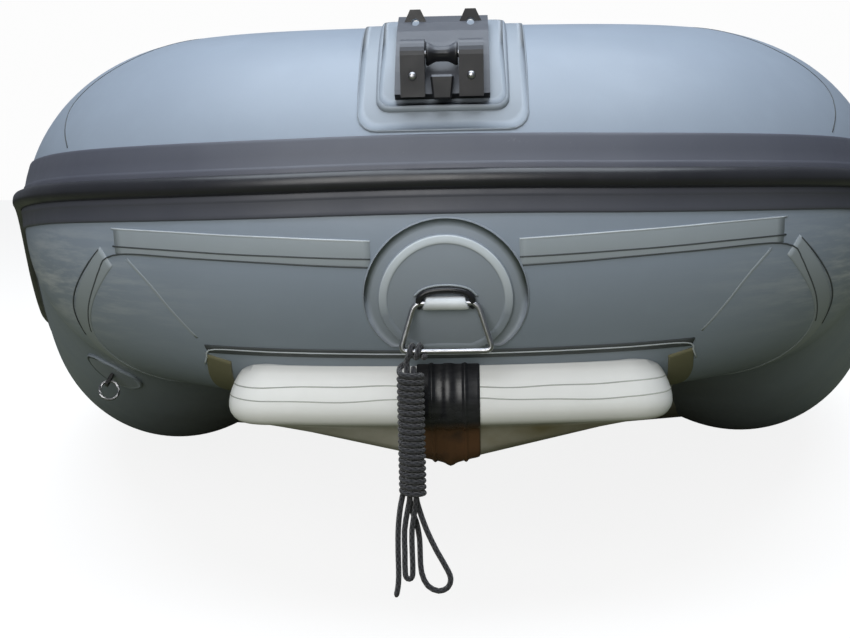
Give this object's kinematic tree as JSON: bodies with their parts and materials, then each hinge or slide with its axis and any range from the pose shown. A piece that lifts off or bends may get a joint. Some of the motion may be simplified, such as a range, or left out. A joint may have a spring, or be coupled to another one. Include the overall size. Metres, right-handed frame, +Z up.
{
  "type": "inflatable boat",
  "caption": "Open inflatable boat with a raised rounded bow, air floor, transom and benches, a roller fitting on the bow and a towing ring with a hanging painter.",
  "frame": {"origin": "centre of the bounding box at its lowest level, the ground under the side tubes", "axes": "-Y towards the bow, +X to port, +Z up"},
  "size_m": [1.6196, 3.2998, 0.706],
  "materials": {
    "tube_fabric": "mid grey coated fabric, semi-gloss",
    "strake_rubber": "dark grey",
    "bead_rubber": "black, satin",
    "floor_fabric": "light grey coated fabric",
    "black_rubber": "black",
    "black_plastic": "black, moulded",
    "stainless": "polished",
    "cord": "black twisted cord",
    "patch_fabric": "mid grey coated fabric",
    "plywood": "grey painted plywood"
  },
  "bodies": {
    "hull": {"bow_chamber": "tube_fabric", "port_chamber": "tube_fabric", "starboard_chamber": "tube_fabric", "port_baffle": "tube_fabric", "starboard_baffle": "tube_fabric", "strake_band": "strake_rubber", "rubbing_strake": "bead_rubber", "air_floor": "floor_fabric", "floor_apron": "patch_fabric", "fitting_patch": "patch_fabric", "fitting_pad": "patch_fabric", "ring_patch": "patch_fabric", "ring_disc": "patch_fabric", "tow_patch": "patch_fabric", "port_cone_cap": "black_rubber", "starboard_cone_cap": "black_rubber", "keel_guard": "black_rubber", "transom_holder_port": "black_rubber", "transom_holder_starboard": "black_rubber", "seat_rail_port": "black_rubber", "seat_rail_starboard": "black_rubber", "ring_strap": "black_rubber", "tow_lug": "black_rubber", "outer_motor_plate": "black_plastic", "inner_motor_plate": "black_plastic", "drain_body": "black_plastic", "oarlock_base_port": "black_plastic", "oarlock_base_starboard": "black_plastic", "valve_body_bow": "black_plastic", "valve_body_port": "black_plastic", "valve_body_starboard": "black_plastic", "valve_body_floor": "black_plastic", "grab_eye_port_1": "black_plastic", "grab_eye_port_2": "black_plastic", "grab_eye_port_3": "black_plastic", "grab_eye_starboard_1": "black_plastic", "grab_eye_starboard_2": "black_plastic", "grab_eye_starboard_3": "black_plastic", "roller_frame": "black_plastic", "guide_tongue": "black_plastic", "transom": "plywood", "roller_axle": "stainless", "cheek_screw_port": "stainless", "cheek_screw_starboard": "stainless", "grab_line_port": "cord", "grab_line_starboard": "cord"},
    "front_bench": {"front_bench": "plywood"},
    "rear_bench": {"rear_bench": "plywood"},
    "oarlock_port": {"oarlock_port": "black_plastic"},
    "oarlock_starboard": {"oarlock_starboard": "black_plastic"},
    "valve_cap_bow": {"valve_cap_bow": "black_plastic"},
    "valve_cap_port": {"valve_cap_port": "black_plastic"},
    "valve_cap_starboard": {"valve_cap_starboard": "black_plastic"},
    "valve_cap_floor": {"valve_cap_floor": "black_plastic"},
    "drain_plug": {"drain_plug": "black_rubber"},
    "bow_roller": {"bow_roller": "black_plastic"},
    "bow_ring": {"bow_ring": "stainless"},
    "painter": {"painter_lead": "cord", "painter_hank": "cord"},
    "tow_ring": {"tow_ring": "stainless"}
  },
  "joints": [
    {"name": "front_bench_slide", "type": "slide", "parent": "hull", "child": "front_bench", "axis": [0, 1, 0], "range_m": [-0.09, 0.14]},
    {"name": "rear_bench_slide", "type": "slide", "parent": "hull", "child": "rear_bench", "axis": [0, 1, 0], "range_m": [-0.14, 0.09]},
    {"name": "oarlock_port_swivel", "type": "hinge", "parent": "hull", "child": "oarlock_port", "pos_m": [0.6243, 0.6, 0.4473], "axis": [0, 0, 1], "continuous": true},
    {"name": "oarlock_starboard_swivel", "type": "hinge", "parent": "hull", "child": "oarlock_starboard", "pos_m": [-0.6243, 0.6, 0.4473], "axis": [0, 0, 1], "continuous": true},
    {"name": "valve_cap_bow_turn", "type": "hinge", "parent": "hull", "child": "valve_cap_bow", "pos_m": [0.17405, -1.21126, 0.61634], "axis": [-0.5824, 0.499, 0.6417], "range_deg": [0, 90]},
    {"name": "valve_cap_port_turn", "type": "hinge", "parent": "hull", "child": "valve_cap_port", "pos_m": [0.47866, 1.09, 0.40483], "axis": [-0.4695, 0, 0.8829], "range_deg": [0, 90]},
    {"name": "valve_cap_starboard_turn", "type": "hinge", "parent": "hull", "child": "valve_cap_starboard", "pos_m": [-0.47866, 1.09, 0.40483], "axis": [0.4695, 0, 0.8829], "range_deg": [0, 90]},
    {"name": "valve_cap_floor_turn", "type": "hinge", "parent": "hull", "child": "valve_cap_floor", "pos_m": [0.2, 1.15, 0.12959], "axis": [0, 0, 1], "range_deg": [0, 90]},
    {"name": "drain_plug_pull", "type": "slide", "parent": "hull", "child": "drain_plug", "axis": [0, 1, 0], "range_m": [0, 0.035]},
    {"name": "roller_spin", "type": "hinge", "parent": "hull", "child": "bow_roller", "pos_m": [0, -1.60141, 0.652], "axis": [1, 0, 0], "continuous": true},
    {"name": "bow_ring_swing", "type": "hinge", "parent": "hull", "child": "bow_ring", "pos_m": [0, -1.63336, 0.39772], "axis": [1, 0, 0], "range_deg": [-100, 12]},
    {"name": "painter_hang", "type": "hinge", "parent": "bow_ring", "child": "painter", "pos_m": [0, -1.63336, 0.34772], "axis": [1, 0, 0], "range_deg": [-12, 100]},
    {"name": "tow_ring_swing", "type": "hinge", "parent": "hull", "child": "tow_ring", "pos_m": [-0.47189, -1.21806, 0.24882], "axis": [0.9659, 0.2588, 0], "range_deg": [-35, 35]}
  ],
  "couplings": [
    {"joint": "painter_hang", "follows": "bow_ring_swing", "ratio": -1}
  ]
}
